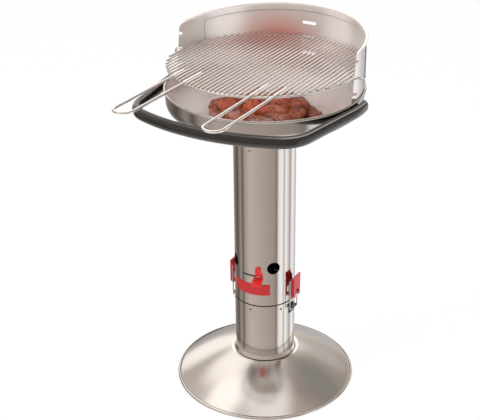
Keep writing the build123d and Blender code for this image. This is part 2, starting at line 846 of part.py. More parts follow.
# Charcoal, rounded lumps heaped on the grate and trimmed to the bowl's floor
with BuildPart() as lump:
    Box(lump_length, lump_width, lump_height)
    fillet(lump.edges(), lump_round)


def heap_places(count, reach, layer):
    """Places on a spiral, each lump turned and tipped in its own way."""
    places = []
    for index in range(count):
        turn = index * golden_angle + layer * golden_angle / 2
        radius = reach * sqrt((index + 0.5) / count)
        spot = outward(turn) * radius
        base = max(grate_top, floor_height(radius)) + (layer + lump_sunk_share) * lump_height
        tip = lump_tip_angle * sin(2 * index + layer)
        roll = lump_tip_angle * cos(3 * index + layer)
        places.append(Location((spot.X, spot.Y, base), (tip, roll, turn * (layer + 2))))
    return places


with BuildPart() as charcoal:
    with BuildSketch(Plane.XZ):
        with BuildLine():
            Line((0, grate_top), (heap_core_radius, grate_top))
            RadiusArc(
                (heap_core_radius, grate_top),
                (0, grate_top + heap_core_height),
                -(heap_core_radius**2 + heap_core_height**2) / (2 * heap_core_height),
            )
            Line((0, grate_top + heap_core_height), (0, grate_top))
        make_face()
    revolve(axis=Axis.Z)
    lump_places = heap_places(lower_lump_count, lower_heap_radius, 0)
    lump_places += heap_places(upper_lump_count, upper_heap_radius, 1)
    for place in lump_places:
        add(lump.part.moved(place))
    with BuildSketch(Plane.XZ) as heap_room:
        with BuildLine():
            room_low = (floor_reach(grate_top, face_gap), grate_top)
            room_edge = arc_point(floor_centre, inner_floor - face_gap, corner_turn)
            room_turn = atan2(floor_centre.Y - grate_top, room_low[0] - floor_centre.X)
            Line((0, grate_top), room_low)
            ThreePointArc(
                room_low,
                arc_point(floor_centre, inner_floor - face_gap, (room_turn + corner_turn) / 2),
                room_edge,
            )
            Polyline(room_edge, (room_edge[0], rim), (0, rim), (0, grate_top))
        make_face()
    revolve(heap_room.sketch, axis=Axis.Z, mode=Mode.INTERSECT)
write(charcoal.part, "charcoal")

# Wind shield inside the bowl's wall, cut by a leaning top and two leaning front edges
shield_bottom = rim - shield_drop
shield_front_top = rim + shield_front_rise
top_point = Vector(0, 0, shield_front_top)
top_up = Vector(0, -shield_back_extra, shield_outside).normalized()
top_back = Vector(0, shield_outside, shield_back_extra).normalized()
top_plane = Plane(origin=top_point, x_dir=(1, 0, 0), z_dir=top_up)
front_normal = Vector(0, shield_front_top - shield_bottom, -shield_front_reach).normalized()
front_plane = Plane(origin=top_point, x_dir=(1, 0, 0), z_dir=front_normal)
shield_high = shield_front_top + 2 * shield_back_extra
grid_levels = [rim + level_first_rise + index * level_pitch for index in range(level_count)]
tab_top = -grid_ring_wire - weld_gap
tab_slot_middle = tab_top - tab_plate - tab_rest_gap + tab_slot_height / 2
notch_width = 2 * (rod_radius + notch_gap)
notch_run = 4 * shield_front_reach
notch_way = Vector(-cos(radians(notch_slope)), sin(radians(notch_slope)))


def panel_block(inner, outer, inset):
    """Curved block for the raised back panel, held back from its outline by an inset."""
    turn = panel_half_angle - degrees(inset / shield_outside)
    low = rim + panel_bottom_rise + inset
    with BuildPart() as block:
        with BuildSketch(upright(180 - turn)):
            with Locations(((inner + outer) / 2, (low + shield_high) / 2)):
                Rectangle(outer - inner, shield_high - low)
        revolve(axis=Axis.Z, revolution_arc=2 * turn)
        split(bisect_by=top_plane.offset(-panel_top_margin - inset), keep=Keep.BOTTOM)
        corners = block.edges().filter_by(GeomType.LINE).sort_by(SortBy.LENGTH)[:4]
        fillet(corners, panel_round - inset)
    return block.part


raised_panel = panel_block(shield_outside - shield_sheet / 2, shield_outside + panel_step, 0)
panel_recess = panel_block(shield_inside - panel_step, shield_inside + panel_step, shield_sheet)

with BuildPart() as wind_shield:
    add_tube(shield_inside, shield_outside, shield_bottom, shield_high)
    split(bisect_by=top_plane, keep=Keep.BOTTOM)
    split(bisect_by=front_plane, keep=Keep.TOP)
    sheet_edges = wind_shield.edges().filter_by(GeomType.LINE).sort_by(SortBy.LENGTH)[:4]
    fillet(sheet_edges.sort_by(Axis.Z)[-2:], shield_corner_round)
    add(raised_panel)
    add(panel_recess, mode=Mode.SUBTRACT)
    bead_turn = radians(shield_bead_margin)
    bead_out = Vector(cos(bead_turn), 0, 0) + top_back * sin(bead_turn)
    with BuildSketch(Plane(origin=top_point, x_dir=bead_out, z_dir=bead_out.cross(top_up))):
        with Locations((shield_inside + shield_bead_radius, 0)):
            Circle(shield_bead_radius)
    revolve(axis=Axis(top_point, top_up), revolution_arc=180 - 2 * shield_bead_margin)
    with BuildSketch(Plane.YZ):
        for level in grid_levels:
            notch_end = Vector(rod_back, level)
            SlotCenterPoint(notch_end + notch_way * notch_run / 2, notch_end, notch_width)
    extrude(amount=rim_radius, both=True, mode=Mode.SUBTRACT)
    with BuildSketch(Plane.XZ):
        for level in grid_levels:
            with Locations((0, level + tab_slot_middle)):
                SlotOverall(tab_slot_width, tab_slot_height)
    extrude(amount=-2 * rim_radius, mode=Mode.SUBTRACT)
    cut_wall_holes()
write(wind_shield.part, "wind_shield")


def wall_sag(radius):
    """Drop of the shield's inside below a flat seat of a given radius."""
    return shield_inside - sqrt(shield_inside**2 - radius**2)


with BuildPart() as shield_screws:
    for angle in shield_fixings:
        shield_seat = spoke(angle, bowl_outside + face_gap, shield_screw_level)
        shield_grip = bowl_outside + 2 * face_gap - shield_inside + wall_sag(nut_radius)
        add_bolt(shield_seat, screw_head_radius, screw_head, screw_radius, shield_grip + nut_height)
write(shield_screws.part, "shield_screws")

with BuildPart() as shield_nuts:
    for angle in shield_fixings:
        nut_seat = inward_spoke(angle, shield_inside - wall_sag(nut_radius) - face_gap, shield_screw_level)
        add_hex_nut(nut_seat, nut_radius, screw_hole, nut_height)
write(shield_nuts.part, "shield_nuts")

# Bumper bar, oval in section: it hugs the bowl, runs forward in two arms and bows across the front
hug_radius = bowl_outside + bumper_bowl_gap + bumper_width / 2
arm_turn = radians(bumper_flare)
tail_turn = radians(bumper_tail)
arm_start = Vector(hug_radius * cos(arm_turn), -hug_radius * sin(arm_turn))
arm_way = Vector(-sin(arm_turn), -cos(arm_turn))
arm_inward = Vector(-cos(arm_turn), sin(arm_turn))
bow_centre = Vector(0, bumper_front_radius - bumper_front)
corner_from_bow = arm_start + arm_inward * bumper_corner_radius - bow_centre
half_term = corner_from_bow.dot(arm_way)
rest_term = corner_from_bow.length**2 - (bumper_front_radius - bumper_corner_radius) ** 2
arm_length = -half_term + sqrt(half_term**2 - rest_term)
bar_corner = arm_start + arm_inward * bumper_corner_radius + arm_way * arm_length
arm_end = arm_start + arm_way * arm_length
bow_out = (bar_corner - bow_centre).normalized()
bow_end = bow_centre + bow_out * bumper_front_radius
corner_middle = bar_corner + (bow_out - arm_inward).normalized() * bumper_corner_radius
tail_end = Vector(hug_radius * cos(tail_turn), hug_radius * sin(tail_turn))


def bar_point(point, side=1):
    """Point of the bar's path, on the right or, with a side of -1, on the left."""
    return (side * point.X, point.Y, bumper_level)


with BuildPart() as bumper_bar:
    with BuildLine() as bumper_path:
        for side in (-1, 1):
            hug_middle = (side * hug_radius, 0, bumper_level)
            ThreePointArc(bar_point(tail_end, side), hug_middle, bar_point(arm_start, side))
            Line(bar_point(arm_start, side), bar_point(arm_end, side))
            ThreePointArc(bar_point(arm_end, side), bar_point(corner_middle, side), bar_point(bow_end, side))
        ThreePointArc(bar_point(bow_end), (0, -bumper_front, bumper_level), bar_point(bow_end, -1))
    with BuildSketch(upright(90 + bumper_tail)):
        with Locations((hug_radius, bumper_level)):
            Ellipse(bumper_width / 2, bumper_height / 2)
    sweep(path=bumper_path.wire())
    fillet(bumper_bar.faces().filter_by(GeomType.PLANE).edges(), bumper_end_round)
    for angle in bumper_fixings:
        bolt_mouth = spoke(angle, hug_radius - bumper_width / 2, bumper_level)
        cut_hole(bolt_mouth, bumper_bolt_hole, bumper_bolt_depth + face_gap)
write(bumper_bar.part, "bumper_bar")

with BuildPart() as bumper_spacers:
    for angle in bumper_fixings:
        spacer_seat = spoke(angle, bowl_outside + face_gap, bumper_level)
        spacer_length = bumper_bowl_gap - 2 * face_gap
        add_washer(spacer_seat, bumper_spacer_radius, bumper_bolt_hole, spacer_length)
write(bumper_spacers.part, "bumper_spacers")

with BuildPart() as bumper_bolts:
    for angle in bumper_fixings:
        bolt_seat_radius = shield_inside - wall_sag(bumper_bolt_head_radius) - face_gap
        bolt_seat = inward_spoke(angle, bolt_seat_radius, bumper_level)
        bolt_length = hug_radius - bumper_width / 2 + bumper_bolt_depth - bolt_seat_radius
        add_bolt(bolt_seat, bumper_bolt_head_radius, screw_head, bumper_bolt_radius, bolt_length)
write(bumper_bolts.part, "bumper_bolts")

# Cooking grid, a ring of two halves that butt on the support rod, with bars welded on top
rod_half_gap = rod_radius + ring_end_gap
ring_back_start = degrees(asin((rod_back + rod_half_gap) / grid_ring_radius))
ring_front_start = degrees(asin((rod_back - rod_half_gap) / grid_ring_radius))


def add_ring_part(first, last):
    """Length of the ring's wire between two angles counted from +X towards the back."""
    with BuildSketch(upright(90 + first)) as wire:
        with Locations((grid_ring_radius, rod_level)):
            Circle(grid_ring_wire)
    revolve(wire.sketch, axis=Axis.Z, revolution_arc=last - first)


with BuildPart() as grid_ring:
    add_ring_part(ring_back_start, 180 - ring_back_start)
    add_ring_part(180 - ring_front_start, 360 + ring_front_start)
write(grid_ring.part, "grid_ring")

with BuildPart() as grid_bars:
    bars_each_side = int((grid_ring_radius - bar_radius) / bar_pitch)
    for index in range(-bars_each_side, bars_each_side + 1):
        bar_x = index * bar_pitch
        bar_half = sqrt((grid_ring_radius + grid_ring_wire) ** 2 - bar_x**2)
        with Locations(Plane(origin=(bar_x, 0, bar_level), z_dir=(0, 1, 0))):
            Cylinder(bar_radius, 2 * bar_half)
write(grid_bars.part, "grid_bars")

with BuildPart() as grid_support_rod:
    rod_end = shield_outside + rod_overhang
    with BuildLine(Plane(origin=(0, rod_back, rod_level), x_dir=(1, 0, 0), z_dir=(0, -1, 0))) as rod_path:
        FilletPolyline(
            (-rod_end, -rod_hook_drop),
            (-rod_end, 0),
            (rod_end, 0),
            (rod_end, -rod_hook_drop),
            radius=rod_bend_radius,
        )
    with BuildSketch(Plane(origin=rod_path.line @ 0, z_dir=rod_path.line % 0)):
        Circle(rod_radius)
    sweep()
write(grid_support_rod.part, "grid_support_rod")

handle_wire = bar_pitch / 2 - bar_radius - weld_gap
handle_level = rod_level + grid_ring_wire + weld_gap + handle_wire
handle_near = (handle_skip_count + 0.5) * bar_pitch
handle_far = handle_near + handle_span_count * bar_pitch
handle_bend = (handle_far - handle_near) / 2

with BuildPart() as grid_handle_right:
    with BuildLine(Plane.XY.offset(handle_level)) as handle_path:
        Line((handle_near, -handle_root), (handle_near, handle_bend - handle_tip))
        ThreePointArc(
            (handle_near, handle_bend - handle_tip),
            (handle_near + handle_bend, -handle_tip),
            (handle_far, handle_bend - handle_tip),
        )
        Line((handle_far, handle_bend - handle_tip), (handle_far, -handle_root))
    with BuildSketch(Plane(origin=handle_path.line @ 0, z_dir=handle_path.line % 0)):
        Circle(handle_wire)
    sweep()
write(grid_handle_right.part, "grid_handle_right")

with BuildPart() as grid_handle_left:
    mirror(grid_handle_right.part, about=Plane.YZ)
write(grid_handle_left.part, "grid_handle_left")

with BuildPart() as grid_rear_tab:
    tab_end = shield_outside + panel_step + tab_outside
    with BuildSketch(Plane.XY.offset(rod_level + tab_top)):
        with Locations((0, grid_ring_radius - tab_inside)):
            Rectangle(tab_width, tab_end - grid_ring_radius + tab_inside, align=(Align.CENTER, Align.MIN))
    extrude(amount=-tab_plate)
write(grid_rear_tab.part, "grid_rear_tab")
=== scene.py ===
import math
import random

import bmesh
import bpy
from mathutils import Matrix, Vector, noise


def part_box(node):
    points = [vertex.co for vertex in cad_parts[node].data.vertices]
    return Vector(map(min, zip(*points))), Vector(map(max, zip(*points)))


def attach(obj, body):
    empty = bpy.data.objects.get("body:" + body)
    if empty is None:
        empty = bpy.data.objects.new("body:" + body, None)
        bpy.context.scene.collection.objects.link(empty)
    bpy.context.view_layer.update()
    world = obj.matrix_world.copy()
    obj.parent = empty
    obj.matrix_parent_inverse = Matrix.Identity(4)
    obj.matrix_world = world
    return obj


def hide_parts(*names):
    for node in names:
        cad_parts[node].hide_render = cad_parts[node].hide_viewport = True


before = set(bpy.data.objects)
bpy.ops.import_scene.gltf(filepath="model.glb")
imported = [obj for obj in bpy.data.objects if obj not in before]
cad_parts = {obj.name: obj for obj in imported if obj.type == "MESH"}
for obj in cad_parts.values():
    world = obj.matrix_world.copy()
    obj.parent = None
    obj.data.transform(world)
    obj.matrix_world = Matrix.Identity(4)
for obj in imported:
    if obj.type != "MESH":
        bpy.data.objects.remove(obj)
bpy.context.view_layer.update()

bl_info = {
    "name": "Charcoal Grill Finish",
    "version": (1, 0, 0),
    "blender": (4, 5, 0),
    "location": "3D View > Sidebar > Grill",
    "description": "Finishes, coals, screws and studio for a free-standing charcoal grill",
    "category": "Object",
}

# Places that finishes and screw heads refer to, in metres, and in degrees from the front to the right
FOOT_GROOVE = 0.2355
BOWL_FOCUS = 0.95
BOWL_LIP = 0.831
GRID_LEVEL = 0.862
SHIELD_SLOPE = 0.0897
SHIELD_BEAD = 0.952
PANEL_BRIM = 0.938
PANEL_TURN = 112
CATCH_REACH = 0.0822
DAMPER_REACH, DAMPER_TURN = 0.0834, 16
SHIELD_SCREW_REACH, SHIELD_SCREW_TURNS = 0.2453, (120, 180, 240)
BUMPER_BOLT_REACH, BUMPER_BOLT_TURNS = 0.2437, (-88.5, -93, 88.5, 93)
BOWL_BOLT_REACH = 0.07185
SIDES = (90, -90)

# Rings of the heap: number of coals, radius and rise over the grate
HEAP = ((14, 0.121, 0.0), (8, 0.07, 0.003), (3, 0.024, 0.006), (9, 0.088, 0.03), (4, 0.04, 0.036))
HOT_EAST, HOT_SOUTH, HOT_REACH = -0.025, -0.015, 0.1
WARMTH = "ember_warmth"

# Colours that several finishes share
PALE_HIGHLIGHT = (0.97, 0.95, 0.94)
WHITE = (1.0, 1.0, 1.0)

# What metal mirrors: colours below and above the horizon, by share of a turn from the far side
LOW_STUDIO = [
    (0.0, (0.45, 0.44, 0.46)), (0.1, (0.26, 0.22, 0.2)), (0.165, (0.12, 0.1, 0.09)),
    (0.215, (0.42, 0.38, 0.35)), (0.25, (0.15, 0.12, 0.11)), (0.28, (0.5, 0.42, 0.38)),
    (0.34, (0.66, 0.57, 0.53)), (0.5, (0.54, 0.46, 0.42)), (0.6, (0.44, 0.38, 0.34)),
    (0.628, (0.26, 0.22, 0.2)), (0.65, (1.05, 1.05, 1.05)), (0.695, (1.2, 1.2, 1.2)),
    (0.711, (0.5, 0.5, 0.5)), (0.735, (1.25, 1.23, 1.23)), (0.765, (1.0, 0.96, 0.94)),
    (0.8, (0.45, 0.43, 0.43)), (0.845, (1.3, 1.28, 1.3)), (0.905, (0.7, 0.7, 0.73)),
    (1.0, (0.45, 0.44, 0.46))]
HIGH_STUDIO = [
    (0.0, (0.78, 0.71, 0.65)), (0.12, (0.6, 0.54, 0.5)), (0.24, (0.74, 0.68, 0.63)),
    (0.36, (0.66, 0.6, 0.55)), (0.5, (0.56, 0.5, 0.46)), (0.62, (0.44, 0.38, 0.34)),
    (0.72, (0.5, 0.43, 0.38)), (0.78, (0.34, 0.29, 0.26)), (0.88, (0.44, 0.38, 0.33)),
    (1.0, (0.78, 0.71, 0.65))]
ZENITH, NADIR = (1.1, 1.06, 1.03), (1.2, 1.16, 1.13)
# Soft panels: degrees from the camera's side, degrees up, degrees of half width, level
PANELS = (
    (-140, 50, 14, 1.35), (-97, 60, 12, 1.5), (-155, 12, 12, 1.3), (-60, 35, 10, 1.2), (62, 32, 8, 0.8),
    (122, 44, 12, 0.3), (150, 20, 9, 0.6), (180, 36, 20, 1.5), (180, 64, 14, 1.15), (20, 78, 12, 1.1))
PANEL_WARMTH = (1.0, 0.95, 0.91)


class Value:
    """A socket that takes part in sums, so shader maths reads like plain maths."""

    def __init__(self, recipe, socket):
        self.recipe = recipe
        self.socket = socket

    def maths(self, operation, first, second=0.0):
        return self.recipe.node("ShaderNodeMath", {"operation": operation}, {0: first, 1: second})

    def __add__(self, other):
        return self.maths("ADD", self, other)

    def __radd__(self, other):
        return self.maths("ADD", other, self)

    def __sub__(self, other):
        return self.maths("SUBTRACT", self, other)

    def __rsub__(self, other):
        return self.maths("SUBTRACT", other, self)

    def __mul__(self, other):
        return self.maths("MULTIPLY", self, other)

    def __rmul__(self, other):
        return self.maths("MULTIPLY", other, self)

    def __truediv__(self, other):
        return self.maths("DIVIDE", self, other)

    def __gt__(self, other):
        return self.maths("GREATER_THAN", self, other)

    def __lt__(self, other):
        return self.maths("LESS_THAN", self, other)

    def __abs__(self):
        return self.maths("ABSOLUTE", self)


class Recipe:
    """A node tree that is written down step by step."""

    def __init__(self, tree):
        self.tree = tree
        tree.nodes.clear()

    def node(self, kind, settings=None, inputs=None, output=0):
        """Adds a node of any type, sets it up, joins its sockets and gives one of its outputs."""
        made = self.tree.nodes.new(kind)
        for key, value in (settings or {}).items():
            if key == "stops":
                ramp = made.color_ramp
                while len(ramp.elements) < len(value):
                    ramp.elements.new(1.0)
                for element, (place, colour) in zip(ramp.elements, value):
                    element.position = place
                    element.color = (*colour, 1.0)
            elif key == "ramp_curve":
                made.color_ramp.interpolation = value
            else:
                setattr(made, key, value)
        for key, value in (inputs or {}).items():
            self.feed(made.inputs[key], value)
        return Value(self, made.outputs[output]) if made.outputs else made

    def feed(self, socket, value):
        """Joins a value to a socket, or sets it to a number, a vector or a colour."""
        if isinstance(value, Value):
            self.tree.links.new(value.socket, socket)
        elif isinstance(value, tuple) and len(value) == 3 and len(socket.default_value) == 4:
            socket.default_value = (*value, 1.0)
        else:
            socket.default_value = value

    def place(self, scale=1.0, shift=(0.0, 0.0, 0.0)):
        """Object coordinates, scaled and shifted."""
        spot = self.node("ShaderNodeTexCoord", output="Object")
        return self.node("ShaderNodeMapping", {}, {"Vector": spot, "Scale": (scale,) * 3, "Location": shift})

    def normal(self):
        """Direction that the face looks in."""
        return self.node("ShaderNodeNewGeometry", output="Normal")

    def dot(self, first, second):
        """Dot product of two vectors."""
        return self.node("ShaderNodeVectorMath", {"operation": "DOT_PRODUCT"}, {0: first, 1: second}, "Value")

    def round_turn(self, vector):
        """Turn of a vector from the front, in radians, positive to the right."""
        east, north = self.axis(vector, "X"), self.axis(vector, "Y")
        return self.node("ShaderNodeMath", {"operation": "ARCTAN2"}, {0: east, 1: 0.0 - north})

    def axis(self, vector, letter):
        """One coordinate of a vector."""
        return self.node("ShaderNodeSeparateXYZ", {}, {"Vector": vector}, "XYZ".index(letter))

    def rings(self):
        """Object coordinates as distance from the grill's axis, turn from the front and height."""
        spot = self.node("ShaderNodeTexCoord", output="Object")
        east, north = self.axis(spot, "X"), self.axis(spot, "Y")
        reach = self.node("ShaderNodeMath", {"operation": "SQRT"}, {0: east * east + north * north})
        return reach, self.round_turn(spot), self.axis(spot, "Z")

    def apart(self, turn, centre):
        """How far a turn lies from a centre in degrees, as a chord of the unit circle."""
        half = (turn - math.radians(centre)) * 0.5
        return 2.0 * abs(self.node("ShaderNodeMath", {"operation": "SINE"}, {0: half}))

    def vector(self, x, y, z):
        """Vector of three numbers or values."""
        return self.node("ShaderNodeCombineXYZ", {}, {"X": x, "Y": y, "Z": z})

    def cloud(self, vector, scale=1.0, detail=4.0, rough=0.55, warp=0.0):
        """Soft noise from 0 to 1."""
        return self.node("ShaderNodeTexNoise", {}, {
            "Vector": vector, "Scale": scale, "Detail": detail, "Roughness": rough, "Distortion": warp})

    def step(self, value, low, high):
        """Smooth change from 0 at low to 1 at high."""
        return self.node("ShaderNodeMapRange", {"interpolation_type": "SMOOTHSTEP"}, {
            "Value": value, "From Min": low, "From Max": high})

    def tint(self, factor, first, second):
        """Colour between two colours."""
        return self.node("ShaderNodeMix", {"data_type": "RGBA"}, {0: factor, 6: first, 7: second}, 2)

    def bump(self, height, depth, strength=1.0):
        """Normal from a height between 0 and 1 that stands for a depth in metres."""
        return self.node("ShaderNodeBump", {}, {"Height": height, "Distance": depth, "Strength": strength})


def finish(name, values):
    """Starts a material: gives its recipe and a call that joins values to its shader."""
    material = bpy.data.materials.new(name)
    material.use_nodes = True
    recipe = Recipe(material.node_tree)
    shader = recipe.tree.nodes.new("ShaderNodeBsdfPrincipled")
    end = recipe.tree.nodes.new("ShaderNodeOutputMaterial")
    recipe.tree.links.new(shader.outputs[0], end.inputs["Surface"])

    def join(changes):
        for key, value in changes.items():
            recipe.feed(shader.inputs[key], value)

    join(values)
    return material, recipe, join


def dress(material, *names):
    """Gives CAD nodes a finish."""
    for name in names:
        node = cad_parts[name]
        node.data.materials.clear()
        node.data.materials.append(material)


def shades(colour, *factors):
    """Darker or lighter forms of a colour."""
    return [tuple(factor * part for part in colour) for factor in factors]


def plated(name, colour, roughness, scale):
    """Plated metal with faint cloudy patches."""
    material, recipe, join = finish(name, {"Metallic": 1.0})
    patch = recipe.cloud(recipe.place(scale), 1.0, 3.0)
    join({
        "Base Color": recipe.tint(patch, *shades(colour, 0.88, 1.0)),
        "Roughness": roughness + 0.16 * (patch - 0.5),
    })
    return material


def piece(name, mesh, material, body, replaced):
    """Turns a bmesh into a piece that rides on a body and stands for CAD nodes."""
    data = bpy.data.meshes.new(name)
    mesh.to_mesh(data)
    mesh.free()
    data.materials.append(material)
    made = bpy.data.objects.new(name, data)
    bpy.context.scene.collection.objects.link(made)
    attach(made, body)
    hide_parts(*replaced)


class GrillColours(bpy.types.PropertyGroup):
    """Colours of the finishes."""

    steel: bpy.props.FloatVectorProperty(
        name="Steel", description="Stainless sheet", subtype="COLOR", size=3, default=(0.72, 0.69, 0.66))
    satin: bpy.props.FloatVectorProperty(
        name="Satin", description="Inside of bowl and shield", subtype="COLOR", size=3,
        default=(0.84, 0.81, 0.79))
    red: bpy.props.FloatVectorProperty(
        name="Red", description="Paint of levers and badge", subtype="COLOR", size=3,
        default=(0.5, 0.006, 0.012))
    lever: bpy.props.FloatVectorProperty(
        name="Lever", description="Bright red of the damper's lever", subtype="COLOR", size=3,
        default=(0.62, 0.012, 0.01))
    black: bpy.props.FloatVectorProperty(
        name="Black", description="Coat of the bumper bar", subtype="COLOR", size=3,
        default=(0.009, 0.0085, 0.008))
    ember: bpy.props.FloatVectorProperty(
        name="Ember", description="Warm colour of the coals", subtype="COLOR", size=3,
        default=(0.42, 0.12, 0.065))
    ash: bpy.props.FloatVectorProperty(
        name="Ash", description="Ash on the coals", subtype="COLOR", size=3, default=(0.5, 0.31, 0.28))
    glow: bpy.props.FloatVectorProperty(
        name="Glow", description="Light of the embers", subtype="COLOR", size=3, default=(1.0, 0.085, 0.03))


class GrillSizes(bpy.types.PropertyGroup):
    """Sizes of the pieces that are modelled here."""

    lump_length: bpy.props.FloatProperty(
        name="Lump length", description="Length of a coal", unit="LENGTH", default=0.078)
    lump_width: bpy.props.FloatProperty(
        name="Lump width", description="Width of a coal", unit="LENGTH", default=0.046)
    lump_height: bpy.props.FloatProperty(
        name="Lump height", description="Height of a coal", unit="LENGTH", default=0.037)
    screw_head: bpy.props.FloatProperty(
        name="Screw head", description="Radius of a screw's head", unit="LENGTH", default=0.004)
    rivet_head: bpy.props.FloatProperty(
        name="Rivet head", description="Radius of a rivet's head", unit="LENGTH", default=0.0032)


class StudioSettings(bpy.types.PropertyGroup):
    """Camera and light."""

    azimuth: bpy.props.FloatProperty(
        name="Azimuth", description="Camera's turn from the front", unit="ROTATION",
        default=math.radians(28.5))
    distance: bpy.props.FloatProperty(
        name="Distance", description="Camera's level distance from the pillar", unit="LENGTH", default=2.5773)
    height: bpy.props.FloatProperty(
        name="Height", description="Camera's height", unit="LENGTH", default=1.7576)
    pitch: bpy.props.FloatProperty(
        name="Pitch", description="Camera's look downwards", unit="ROTATION", default=0.4559)
    yaw: bpy.props.FloatProperty(
        name="Yaw", description="Camera's turn off the pillar", unit="ROTATION", default=0.025)
    roll: bpy.props.FloatProperty(
        name="Roll", description="Camera's lean", unit="ROTATION", default=0.0127)
    lens: bpy.props.FloatProperty(
        name="Lens", description="Focal length in millimetres", unit="CAMERA", default=82.787)
    sky: bpy.props.FloatProperty(
        name="Sky", description="Strength of the soft light from above", default=1.15)
    ground: bpy.props.FloatProperty(
        name="Ground", description="Strength of the soft light from below", default=0.4)
    key: bpy.props.FloatProperty(
        name="Key", description="Power of the key light", unit="POWER", default=60.0)


